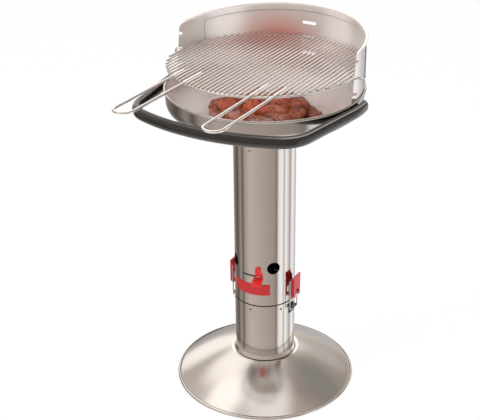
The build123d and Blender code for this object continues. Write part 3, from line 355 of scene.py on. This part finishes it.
class GRILL_OT_steel(bpy.types.Operator):
    """Drawn and spun stainless sheet for foot, pot, pillar, bowl and shield"""

    bl_idname = "grill.steel"
    bl_label = "Steel sheets"

    def sheet(self, name, roughness, grain, strength=0.05, lines=(), weld=False, groove=None):
        """Stainless sheet: grain as counts per metre along reach, turn and height, painted shade lines where
        parts meet and a painted shade ring in a groove.
        """
        steel = tuple(bpy.context.scene.grill_colours.steel)
        material, recipe, join = finish(name, {"Metallic": 1.0})
        reach, turn, height = recipe.rings()
        way = recipe.vector(reach * grain[0], turn * grain[1], height * grain[2])
        hair = recipe.cloud(way, 1.0, 4.0, 0.65)
        smudge = recipe.cloud(recipe.place(7.0), 1.0, 5.0, 0.6, 0.5)
        colour = recipe.tint(hair, *shades(steel, 1.0 - strength, 1.0 + strength))
        rough = roughness + 1.2 * strength * (hair - 0.5) + 0.1 * (smudge - 0.45)
        if weld:
            bead = recipe.step(abs(turn), math.pi - 0.028, math.pi - 0.012)
            colour = recipe.tint(bead * 0.5, colour, (0.36, 0.33, 0.31))
            rough = rough + bead * 0.15
        # Painted shade: a near-black line at each given height, where one part meets the next
        for level, half in lines:
            edge = recipe.step(abs(height - level), half * 1.3, half * 0.7)
            colour = recipe.tint(edge, colour, (0.012, 0.011, 0.01))
            rough = rough + edge * 0.4
        # Painted shade: a dark ring at the given reach, in the foot's groove
        if groove:
            edge = recipe.step(abs(reach - groove), 0.0018, 0.0009)
            colour = recipe.tint(edge, colour, (0.05, 0.045, 0.04))
        join({"Base Color": colour, "Roughness": rough})
        return material

    def bowl_sheet(self):
        """Bright outside; satin inside, paled throughout with a painted highlight on the left side and a
        painted glow of the embers on the back edge; marks of heat and soot.
        """
        colours = bpy.context.scene.grill_colours
        material, recipe, join = finish("pressed_bowl_steel", {})
        reach, turn, height = recipe.rings()
        facing = recipe.dot(recipe.place(shift=(0.0, 0.0, -BOWL_FOCUS)), recipe.normal())
        inside = recipe.step(facing, 0.03, -0.03) * recipe.step(height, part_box("bowl")[1].z - 0.002, BOWL_LIP)
        smudge = recipe.cloud(recipe.place(7.0), 1.0, 5.0, 0.6, 0.5)
        lathe = recipe.cloud(recipe.vector(reach * 260.0, turn, 0.0), 1.0, 3.0)
        colour = recipe.tint(inside, *shades(colours.steel, 0.82), tuple(colours.satin))
        # Painted highlight: a pale band on the left of the inside, and the whole inside paled by half
        band = recipe.step(recipe.apart(turn, -75.0), 0.6, 0.15) * recipe.step(reach, 0.24, 0.215)
        colour = recipe.tint((0.5 + 0.5 * band) * inside, colour, PALE_HIGHLIGHT)
        colour = recipe.tint(lathe * 0.08, colour, (0.5, 0.47, 0.45))
        straw = recipe.step(reach, 0.19, 0.1) * smudge * inside
        colour = recipe.tint(straw * 0.6, colour, (0.60, 0.40, 0.27))
        # Painted glow of the embers: a warm red tint on the back of the inside, below the rim
        warm = recipe.step(recipe.apart(turn, -165.0), 0.8, 0.1) * recipe.step(height, 0.77, 0.82)
        colour = recipe.tint(warm * inside * 0.8, colour, (0.75, 0.3, 0.2))
        dusty = recipe.step(recipe.cloud(recipe.place(38.0), 1.0, 5.0, 0.7), 0.46, 0.66)
        near = recipe.step(reach, 0.19, 0.14) * inside * dusty
        colour = recipe.tint(near * 0.7, colour, (0.12, 0.1, 0.09))
        join({
            "Base Color": colour,
            "Metallic": 1.0 - (0.58 + 0.25 * band) * inside,
            "Roughness": 0.12 + 0.16 * inside + 0.3 * near + 0.08 * (smudge - 0.45),
        })
        return material

    def shield_sheet(self):
        """Satin inside with painted pale reflection bands and a painted glow of the embers, a painted white
        highlight on the bead on top, painted shade in the fold and along the panel's top edge.
        """
        colours = bpy.context.scene.grill_colours
        material, recipe, join = finish("brushed_shield_steel", {})
        reach, turn, height = recipe.rings()
        spot = recipe.place()
        normal = recipe.normal()
        facing = recipe.axis(spot, "X") * recipe.axis(normal, "X")
        facing = facing + recipe.axis(spot, "Y") * recipe.axis(normal, "Y")
        lean = height - recipe.axis(spot, "Y") * SHIELD_SLOPE
        bead = recipe.step(lean, SHIELD_BEAD, SHIELD_BEAD + 0.0012)
        inside = recipe.step(facing, 0.02, -0.02) * (1.0 - bead)
        lines = recipe.cloud(recipe.vector(reach * 20.0, turn * 0.8, height * 420.0), 1.0, 4.0, 0.65)
        smudge = recipe.cloud(recipe.place(6.0), 1.0, 4.0, 0.6, 0.5)
        colour = recipe.tint(inside, tuple(colours.steel), tuple(colours.satin))
        colour = recipe.tint(recipe.step(lines, 0.3, 0.7) * 0.03, colour, (0.45, 0.42, 0.41))
        # Painted reflections: pale bands on the inside at two turns
        band = recipe.step(recipe.apart(turn, -128.0), 0.32, 0.08)
        band = band + 0.75 * recipe.step(recipe.apart(turn, 158.0), 0.3, 0.06)
        colour = recipe.tint(band * inside, colour, PALE_HIGHLIGHT)
        # Painted glow of the embers: a red tint on the inside behind the coals, near the grid
        away = recipe.vector(recipe.apart(turn, -160.0) * 0.2, height - GRID_LEVEL, 0.0)
        away = recipe.node("ShaderNodeVectorMath", {"operation": "LENGTH"}, {0: away}, "Value")
        colour = recipe.tint(recipe.step(away, 0.13, 0.01) * inside * 0.9, colour, (0.7, 0.27, 0.19))
        side = math.radians(PANEL_TURN)
        fold = recipe.step(abs(abs(turn) - side), 0.009, 0.004)
        fold = fold * (height > GRID_LEVEL) * (lean < PANEL_BRIM - 0.002)
        brim = recipe.step(abs(lean - PANEL_BRIM), 0.0022, 0.001) * (abs(turn) > side)
        # Painted shade: dark lines in the panel's side folds and along its top edge
        colour = recipe.tint(fold * 0.55, colour, (0.2, 0.18, 0.17))
        colour = recipe.tint(brim * 0.5, colour, (0.24, 0.22, 0.21))
        # Painted highlight: the top bead is near white and less metallic
        colour = recipe.tint(bead, colour, (0.98, 0.97, 0.96))
        join({
            "Base Color": colour,
            "Metallic": 1.0 - (0.28 + 0.32 * band) * inside - 0.6 * bead,
            "Roughness": 0.13 + 0.17 * inside + 0.04 * (lines - 0.5) + 0.1 * (smudge - 0.45),
        })
        return material

    def execute(self, context):
        crown, seam = (corner.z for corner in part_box("ash_pot"))
        spun, drawn = (260.0, 2.0, 260.0), (0.0, 420.0, 3.0)
        pillar_shade_lines = [(seam + 0.0004, 0.0017)]
        pot_shade_lines = [(crown, 0.0018), (seam, 0.0013)]
        dress(self.sheet("spun_foot_steel", 0.17, spun, 0.02, groove=FOOT_GROOVE), "base_bell")
        dress(self.sheet("drawn_pillar_steel", 0.1, drawn, lines=pillar_shade_lines, weld=True), "pillar_tube")
        dress(self.sheet("drawn_pot_steel", 0.1, drawn, lines=pot_shade_lines, weld=True), "ash_pot")
        dress(self.bowl_sheet(), "bowl")
        dress(self.shield_sheet(), "wind_shield")
        dress(self.sheet("inner_steel", 0.32, (40.0, 4.0, 900.0)), "joining_sleeve", "bowl_neck")
        return {"FINISHED"}


class GRILL_OT_fixings(bpy.types.Operator):
    """Zinc, latch steel and chromed wire"""

    bl_idname = "grill.fixings"
    bl_label = "Plated pieces"

    def execute(self, context):
        dress(plated("zinc_plate", (0.62, 0.62, 0.63), 0.3, 300.0),
              "pot_washers", "pot_bolt", "pot_lock_nut", "damper_lock_nut", "bowl_nuts", "shield_nuts")
        dress(plated("latch_plate", (0.66, 0.66, 0.67), 0.24, 200.0),
              "latch_bracket_right", "latch_bracket_left", "latch_pin_right", "latch_pin_left",
              "latch_bail_right", "latch_bail_left")
        dress(plated("chromed_wire", (0.9, 0.89, 0.88), 0.12, 120.0),
              "grid_ring", "grid_bars", "grid_support_rod", "grid_handle_left", "grid_handle_right",
              "grid_rear_tab")
        return {"FINISHED"}


class GRILL_OT_coats(bpy.types.Operator):
    """Red paint, black coats and the sooty grate"""

    bl_idname = "grill.coats"
    bl_label = "Painted pieces"

    def coat(self, name, colour, roughness, gloss, ripple, painted_sheen=0.0):
        """Paint with faint orange peel, and a painted pale highlight where it looks up and outwards."""
        material, recipe, join = finish(name, {"Coat Weight": gloss, "Coat Roughness": 0.08})
        peel = recipe.cloud(recipe.place(ripple), 1.0, 2.0)
        patch = recipe.cloud(recipe.place(14.0), 1.0, 4.0, 0.6)
        paint = recipe.tint(patch, *shades(colour, 0.82, 1.1))
        # Painted highlight: a pale streak on faces that look up and outwards, stronger towards the right
        if painted_sheen:
            normal = recipe.normal()
            streak = recipe.step(abs(recipe.axis(normal, "Z") - 0.7), 0.16, 0.03)
            streak = streak * (0.15 + 0.85 * recipe.step(recipe.axis(normal, "X"), 0.1, 0.5))
            paint = recipe.tint(streak * painted_sheen, paint, (0.62, 0.59, 0.57))
        join({
            "Base Color": paint,
            "Roughness": roughness + 0.14 * (patch - 0.5),
            "Normal": recipe.bump(peel, 0.00003, 0.5),
        })
        return material

    def execute(self, context):
        colours = context.scene.grill_colours
        dress(self.coat("red_gloss", tuple(colours.red), 0.38, 0.15, 700.0),
              "latch_lever_right", "latch_lever_left", "badge_plate")
        dress(self.coat("lever_gloss", tuple(colours.lever), 0.3, 0.5, 500.0), "damper_lever")
        dress(self.coat("black_satin", tuple(colours.black), 0.3, 0.3, 900.0),
              "latch_catch_right", "latch_catch_left")
        # The bumper bar's coat carries the painted highlight streak
        dress(self.coat("bumper_satin", tuple(colours.black), 0.26, 0.3, 900.0, 0.4), "bumper_bar")
        dress(self.coat("black_matt", (0.02, 0.02, 0.02), 0.6, 0.0, 900.0), "bumper_spacers")
        dress(self.coat("sooty_iron", (0.045, 0.04, 0.036), 0.7, 0.0, 400.0), "charcoal_grate", "damper_band")
        return {"FINISHED"}


class GRILL_OT_screws(bpy.types.Operator):
    """Domed rivets and socket screws on pillar, bowl and shield"""

    bl_idname = "grill.screws"
    bl_label = "Screws and rivets"

    def head(self, mesh, place, radius, height, shank, length, socket):
        """Domed head on a shank, with a six-sided socket where it is a screw."""
        sink = 0.48 * radius if socket else 0.0
        outline = [(0.0, 0.35 * height), (sink, 0.35 * height)] if socket else []
        for index in range(7):
            swing = index * math.pi / 12
            outline.append((sink + (radius - sink) * math.sin(swing), height * (0.3 + 0.7 * math.cos(swing))))
        outline += [(radius, 0.0), (shank, 0.0), (shank, -length), (0.0, -length)]
        before = set(mesh.verts)
        line = [mesh.verts.new((x, 0.0, z)) for x, z in outline]
        edges = [mesh.edges.new(pair) for pair in zip(line, line[1:])]
        bmesh.ops.spin(
            mesh, geom=line + edges, cent=(0, 0, 0), axis=(0, 0, 1), angle=2 * math.pi, steps=24,
            use_merge=True)
        bmesh.ops.remove_doubles(mesh, verts=[vert for vert in mesh.verts if vert not in before], dist=1e-6)
        made = [vert for vert in mesh.verts if vert not in before]
        for vert in made:
            if socket and abs(vert.co.xy.length - sink) < 1e-6:
                corner = math.atan2(vert.co.y, vert.co.x) % (math.pi / 3) - math.pi / 6
                vert.co.xy *= math.cos(math.pi / 6) / math.cos(corner)
        bmesh.ops.transform(mesh, matrix=place, verts=made)

    def spoke(self, angle, radius, level, out=1):
        """Place on a circle round the axis, with its height along the spoke, outwards or inwards."""
        spin = Matrix.Rotation(math.radians(angle), 4, "Z")
        return spin @ Matrix.Translation((0, -radius, level)) @ Matrix.Rotation(out * math.pi / 2, 4, "X")

    def circle(self, node, angles, radius, out=1):
        """Places on a circle at the middle height of a CAD node."""
        level = (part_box(node)[0].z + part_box(node)[1].z) / 2
        return [self.spoke(angle, radius, level, out) for angle in angles]

    def group(self, node, body, places, sizes, socket, material):
        """All heads of one CAD node in one piece, with sizes of head radius, height, shank and length."""
        mesh = bmesh.new()
        for place in places:
            self.head(mesh, place, *sizes, socket)
        bmesh.ops.recalc_face_normals(mesh, faces=mesh.faces)
        for face in mesh.faces:
            face.smooth = True
        for edge in mesh.edges:
            edge.smooth = edge.calc_face_angle(0.0) < 0.6
        # Spinning makes the faces in a new order each run, so they are sorted by place
        order = sorted(mesh.faces, key=lambda face: tuple(face.calc_center_median()))
        ranks = {face: rank for rank, face in enumerate(order)}
        mesh.faces.sort(key=ranks.get)
        piece(node + "_heads", mesh, material, body, [node])

    def execute(self, context):
        sizes = context.scene.grill_sizes
        zinc = plated("screw_zinc", (0.6, 0.6, 0.61), 0.28, 400.0)
        dark = plated("rivet_steel", (0.3, 0.29, 0.28), 0.34, 400.0)
        dome, cap = 0.0012, 0.0024
        rivet = (sizes.rivet_head, dome, 0.0016, 0.0028)
        screw = (sizes.screw_head, cap, 0.002, 0.0045)
        damper_screw = (sizes.screw_head, cap, 0.002, 0.009)
        bumper_bolt = (0.005, cap, 0.003, 0.017)
        bowl_bolt = (0.0045, cap, 0.0025, 0.006)
        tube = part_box("pillar_tube")[1].x + 0.0001

        places = self.circle("sleeve_rivets", range(0, 360, 60), tube)
        self.group("sleeve_rivets", "stand", places, rivet, False, dark)

        low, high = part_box("bracket_rivets")
        levels = (low.z + sizes.rivet_head, high.z - sizes.rivet_head)
        places = [self.spoke(side, high.x - dome, level) for side in SIDES for level in levels]
        self.group("bracket_rivets", "stand", places, rivet, False, zinc)

        swing = math.degrees(math.asin((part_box("catch_rivets")[1].y - sizes.rivet_head) / CATCH_REACH))
        turns = [side + turn for side in SIDES for turn in (-swing, swing)]
        places = self.circle("catch_rivets", turns, CATCH_REACH)
        self.group("catch_rivets", "stand", places, rivet, False, zinc)

        places = self.circle("neck_screws", range(0, 360, 90), tube)
        self.group("neck_screws", "stand", places, screw, True, zinc)

        places = self.circle("damper_screw", [DAMPER_TURN], DAMPER_REACH)
        self.group("damper_screw", "damper", places, damper_screw, True, zinc)

        places = self.circle("shield_screws", SHIELD_SCREW_TURNS, SHIELD_SCREW_REACH)
        self.group("shield_screws", "stand", places, screw, True, zinc)

        places = self.circle("bumper_bolts", BUMPER_BOLT_TURNS, BUMPER_BOLT_REACH, -1)
        self.group("bumper_bolts", "stand", places, bumper_bolt, True, zinc)

        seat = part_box("bowl_bolts")[1].z - cap
        reach = BOWL_BOLT_REACH * math.sqrt(0.5)
        places = [Matrix.Translation((x, y, seat)) for x in (-reach, reach) for y in (-reach, reach)]
        self.group("bowl_bolts", "stand", places, bowl_bolt, True, zinc)
        return {"FINISHED"}


class GRILL_OT_coals(bpy.types.Operator):
    """Heap of burning coals on the grate"""

    bl_idname = "grill.coals"
    bl_label = "Coals"

    def ember(self):
        """Burnt lumps with ash on their skin, and a glow where they are hot, in cracks and in between."""
        colours = bpy.context.scene.grill_colours
        material, recipe, join = finish("ember_coal", {"Emission Strength": 0.27})
        spot = recipe.place()
        heat = recipe.node("ShaderNodeAttribute", {"attribute_name": WARMTH}, output="Fac")
        facing = recipe.axis(recipe.normal(), "Z")
        skin = recipe.cloud(spot, 60.0, 6.0, 0.65, 0.3)
        grain = recipe.cloud(spot, 420.0, 5.0, 0.65)
        pale = recipe.step(recipe.cloud(spot, 26.0, 5.0, 0.62), 0.46, 0.68)
        wander = recipe.node("ShaderNodeTexNoise", {}, {"Vector": spot, "Scale": 70.0}, "Color")
        wander = recipe.node("ShaderNodeVectorMath", {"operation": "MULTIPLY_ADD"}, {
            0: wander, 1: (0.014, 0.014, 0.014), 2: spot}, "Vector")
        crack = recipe.node("ShaderNodeTexVoronoi", {"feature": "DISTANCE_TO_EDGE"}, {
            "Vector": wander, "Scale": 30.0}, "Distance")
        crack = recipe.step(crack, 0.05, 0.0) * recipe.step(skin, 0.3, 0.55)
        # Painted shade: the lumps' colour darkens where they hide each other, from ambient occlusion
        open_air = recipe.node(
            "ShaderNodeAmbientOcclusion", {"only_local": True, "samples": 8}, {"Distance": 0.03}, "AO")
        shade = recipe.step(open_air, 0.35, 0.95)
        body = recipe.tint(recipe.step(skin, 0.32, 0.62), (0.1, 0.036, 0.026), tuple(colours.ember))
        ash = pale * recipe.step(facing, -0.2, 0.5) * (1.0 - 0.7 * heat)
        body = recipe.tint(ash, body, tuple(colours.ash))
        body = recipe.tint(recipe.step(grain, 0.5, 0.66) * 0.4, body, (0.05, 0.024, 0.02))
        body = recipe.tint(crack * 0.45, body, (0.03, 0.013, 0.01))
        body = recipe.tint(shade, (0.03, 0.011, 0.008), body)
        hot = heat * recipe.step(skin, 0.3, 0.62) * (1.0 - 0.5 * pale)
        light = recipe.tint(hot, (0.0, 0.0, 0.0), tuple(colours.glow))
        light = recipe.tint((1.0 - shade) * (0.05 + 0.6 * heat), light, (0.95, 0.2, 0.02))
        light = recipe.tint(crack * heat, light, (1.0, 0.22, 0.03))
        join({
            "Base Color": body,
            "Roughness": 0.72 + 0.25 * (skin - 0.5),
            "Emission Color": light,
            "Normal": recipe.bump(0.6 * skin + 0.3 * grain - 0.5 * crack, 0.004, 0.8),
        })
        return material

    def lump(self, mesh, chance, place, size, heat, layer):
        """One coal, a rounded finger with soft knuckles."""
        verts = bmesh.ops.create_icosphere(mesh, subdivisions=3, radius=0.5)["verts"]
        seed = Vector([chance.uniform(-9, 9) for index in range(3)])
        bend = chance.uniform(-0.35, 0.35)
        for vert in verts:
            along = 2 * vert.co.x
            vert.co.yz *= math.sqrt(1 + along * along)
            swell = noise.noise(vert.co * 1.9 + seed) * 0.32 + noise.noise(vert.co * 5.0 + seed) * 0.15
            vert.co *= 1 + swell
            vert.co.y += bend * along * along
            vert[layer] = heat
        bmesh.ops.transform(mesh, matrix=place @ Matrix.Diagonal((*size, 1.0)), verts=verts)

    def execute(self, context):
        sizes = context.scene.grill_sizes
        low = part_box("charcoal")[0]
        mesh = bmesh.new()
        layer = mesh.verts.layers.float.new(WARMTH)
        chance = random.Random(11)
        for count, reach, rise in HEAP:
            begin = chance.uniform(0, math.pi)
            for index in range(count):
                turn = begin + 2 * math.pi * (index + chance.uniform(-0.15, 0.15)) / count
                radius = reach + chance.uniform(-0.006, 0.006)
                size = [length * chance.uniform(0.88, 1.1) for length in
                        (sizes.lump_length, sizes.lump_width, sizes.lump_height)]
                face = Matrix.Rotation(turn + chance.uniform(-0.7, 0.7), 4, "Z")
                tip = Matrix.Rotation(chance.uniform(-0.3, 0.3), 4, "Y")
                east, south = radius * math.sin(turn), radius * math.cos(turn)
                height = low.z + 0.5 * sizes.lump_height + rise + max(0.0, radius - 0.1) * 0.45
                spot = Matrix.Translation((east, -south, height))
                warm = max(0.0, 1.25 - math.hypot(east - HOT_EAST, south - HOT_SOUTH) / HOT_REACH)
                warm = min(1.0, warm * chance.uniform(0.5, 1.0) * (0.5 + 27.0 * rise))
                self.lump(mesh, chance, spot @ face @ tip, size, warm, layer)
        for face in mesh.faces:
            face.smooth = True
        piece("coal_heap", mesh, self.ember(), "stand", ["charcoal"])
        return {"FINISHED"}


class GRILL_OT_studio(bpy.types.Operator):
    """Pale floor, soft light and the camera"""

    bl_idname = "grill.studio"
    bl_label = "Studio"

    def world(self, studio):
        """White for the camera, even light for matt faces and a soft studio for metal."""
        world = bpy.data.worlds.new("studio")
        bpy.context.scene.world = world
        world.use_nodes = True
        recipe = Recipe(world.node_tree)
        way = recipe.node("ShaderNodeTexCoord", output="Generated")
        way = recipe.node("ShaderNodeMapping", {}, {"Vector": way, "Rotation": (0.0, 0.0, -studio.azimuth)})
        share = recipe.round_turn(way) / (2 * math.pi) + 0.5
        low = recipe.node("ShaderNodeValToRGB", {"ramp_curve": "LINEAR", "stops": LOW_STUDIO}, {"Fac": share})
        high = recipe.node("ShaderNodeValToRGB", {"ramp_curve": "EASE", "stops": HIGH_STUDIO}, {"Fac": share})
        height = recipe.axis(way, "Z")
        shine = recipe.tint(recipe.step(height, -0.25, 0.05), low, high)
        shine = recipe.tint(recipe.step(height, 0.9, 0.99), shine, ZENITH)
        shine = recipe.tint(recipe.step(height, -0.5, -0.85), shine, NADIR)
        for swing, lift, wide, level in PANELS:
            swing, lift, wide = math.radians(swing), math.radians(lift), math.radians(wide)
            aim = (math.cos(lift) * math.sin(swing), -math.cos(lift) * math.cos(swing), math.sin(lift))
            panel = recipe.step(recipe.dot(way, aim), math.cos(wide * 1.5), math.cos(wide * 0.6))
            shine = recipe.tint(panel, shine, *shades(PANEL_WARMTH, level))
        mirrored = recipe.node("ShaderNodeLightPath", output="Is Glossy Ray")
        seen = recipe.node("ShaderNodeLightPath", output="Is Camera Ray")
        dome = recipe.tint(recipe.step(height, -0.2, 0.9), (studio.ground,) * 3, (studio.sky,) * 3)
        colour = recipe.tint(seen, recipe.tint(mirrored, dome, shine), WHITE)
        light = recipe.node("ShaderNodeBackground", {}, {"Color": colour, "Strength": 1.0})
        recipe.node("ShaderNodeOutputWorld", {}, {"Surface": light})

    def floor(self):
        """Wide floor, white to the camera but for the object's shadow."""
        mesh = bmesh.new()
        bmesh.ops.create_grid(mesh, x_segments=2, y_segments=2, size=20.0)
        bmesh.ops.translate(mesh, verts=mesh.verts, vec=(0.0, 0.0, -0.0006))
        data = bpy.data.meshes.new("studio_floor")
        mesh.to_mesh(data)
        mesh.free()
        material = bpy.data.materials.new("pale_floor")
        material.use_nodes = True
        recipe = Recipe(material.node_tree)
        matt = recipe.node("ShaderNodeBsdfDiffuse", {}, {"Color": (0.86, 0.85, 0.84)})
        white = recipe.node("ShaderNodeEmission", {}, {"Color": WHITE, "Strength": 1.0})
        seen = recipe.node("ShaderNodeLightPath", output="Is Camera Ray")
        mixed = recipe.node("ShaderNodeMixShader", {}, {0: seen * 0.93, 1: matt, 2: white})
        recipe.node("ShaderNodeOutputMaterial", {}, {"Surface": mixed})
        data.materials.append(material)
        floor = bpy.data.objects.new("studio_floor", data)
        bpy.context.scene.collection.objects.link(floor)
        floor.visible_glossy = False

    def lamp(self, name, spot, size, power):
        """Square soft light that looks at the pillar."""
        light = bpy.data.lights.new(name, "AREA")
        light.shape = "SQUARE"
        light.size = size
        light.energy = power
        made = bpy.data.objects.new(name, light)
        made.location = spot
        made.rotation_euler = (Vector((0, 0, 0.5)) - Vector(spot)).to_track_quat("-Z", "Y").to_euler()
        made.visible_glossy = False
        bpy.context.scene.collection.objects.link(made)

    def glow(self):
        """Light of the embers on bowl and shield."""
        light = bpy.data.lights.new("ember_glow", "AREA")
        light.shape = "DISK"
        light.size = 0.16
        light.energy = 0.25
        light.color = (1.0, 0.42, 0.34)
        made = bpy.data.objects.new("ember_glow", light)
        made.location = (0.0, 0.05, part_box("charcoal")[1].z + 0.004)
        made.rotation_euler = (math.pi, 0.0, 0.0)
        made.visible_camera = False
        made.visible_glossy = False
        bpy.context.scene.collection.objects.link(made)

    def execute(self, context):
        studio = context.scene.grill_studio
        self.world(studio)
        self.floor()
        self.lamp("key_light", (-1.6, -2.2, 3.2), 1.6, studio.key)
        self.lamp("fill_light", (2.6, -0.6, 2.2), 1.6, studio.key * 0.5)
        self.glow()
        camera = bpy.data.objects.new("photo_camera", bpy.data.cameras.new("photo_camera"))
        camera.data.sensor_width = 36.0
        camera.data.lens = studio.lens
        look = Matrix.Rotation(studio.azimuth + studio.yaw, 4, "Z")
        look = look @ Matrix.Rotation(math.pi / 2 - studio.pitch, 4, "X")
        look = look @ Matrix.Rotation(-studio.roll, 4, "Z")
        east = studio.distance * math.sin(studio.azimuth)
        south = studio.distance * math.cos(studio.azimuth)
        camera.matrix_world = Matrix.Translation((east, -south, studio.height)) @ look
        context.scene.collection.objects.link(camera)
        context.scene.camera = camera
        context.scene.view_settings.view_transform = "Standard"
        return {"FINISHED"}


class GRILL_PT_panel(bpy.types.Panel):
    """Lists the steps and the settings"""

    bl_idname = "GRILL_PT_panel"
    bl_label = "Charcoal Grill"
    bl_space_type = "VIEW_3D"
    bl_region_type = "UI"
    bl_category = "Grill"

    def draw(self, context):
        for step in STEPS:
            self.layout.operator(step.bl_idname)
        for group in (context.scene.grill_sizes, context.scene.grill_colours, context.scene.grill_studio):
            for key in group.__annotations__:
                self.layout.prop(group, key)


STEPS = (GRILL_OT_steel, GRILL_OT_fixings, GRILL_OT_screws, GRILL_OT_coats, GRILL_OT_coals, GRILL_OT_studio)
GROUPS = {"grill_sizes": GrillSizes, "grill_colours": GrillColours, "grill_studio": StudioSettings}


def register():
    for group in GROUPS.values():
        bpy.utils.register_class(group)
    for name, group in GROUPS.items():
        setattr(bpy.types.Scene, name, bpy.props.PointerProperty(type=group))
    for step in (*STEPS, GRILL_PT_panel):
        bpy.utils.register_class(step)


def unregister():
    for step in reversed((*STEPS, GRILL_PT_panel)):
        bpy.utils.unregister_class(step)
    for name in GROUPS:
        delattr(bpy.types.Scene, name)
    for group in reversed(list(GROUPS.values())):
        bpy.utils.unregister_class(group)


def main():
    register()
    bpy.ops.grill.steel()
    bpy.ops.grill.fixings()
    bpy.ops.grill.screws()
    bpy.ops.grill.coats()
    bpy.ops.grill.coals()
    bpy.ops.grill.studio()


if __name__ == "__main__":
    main()
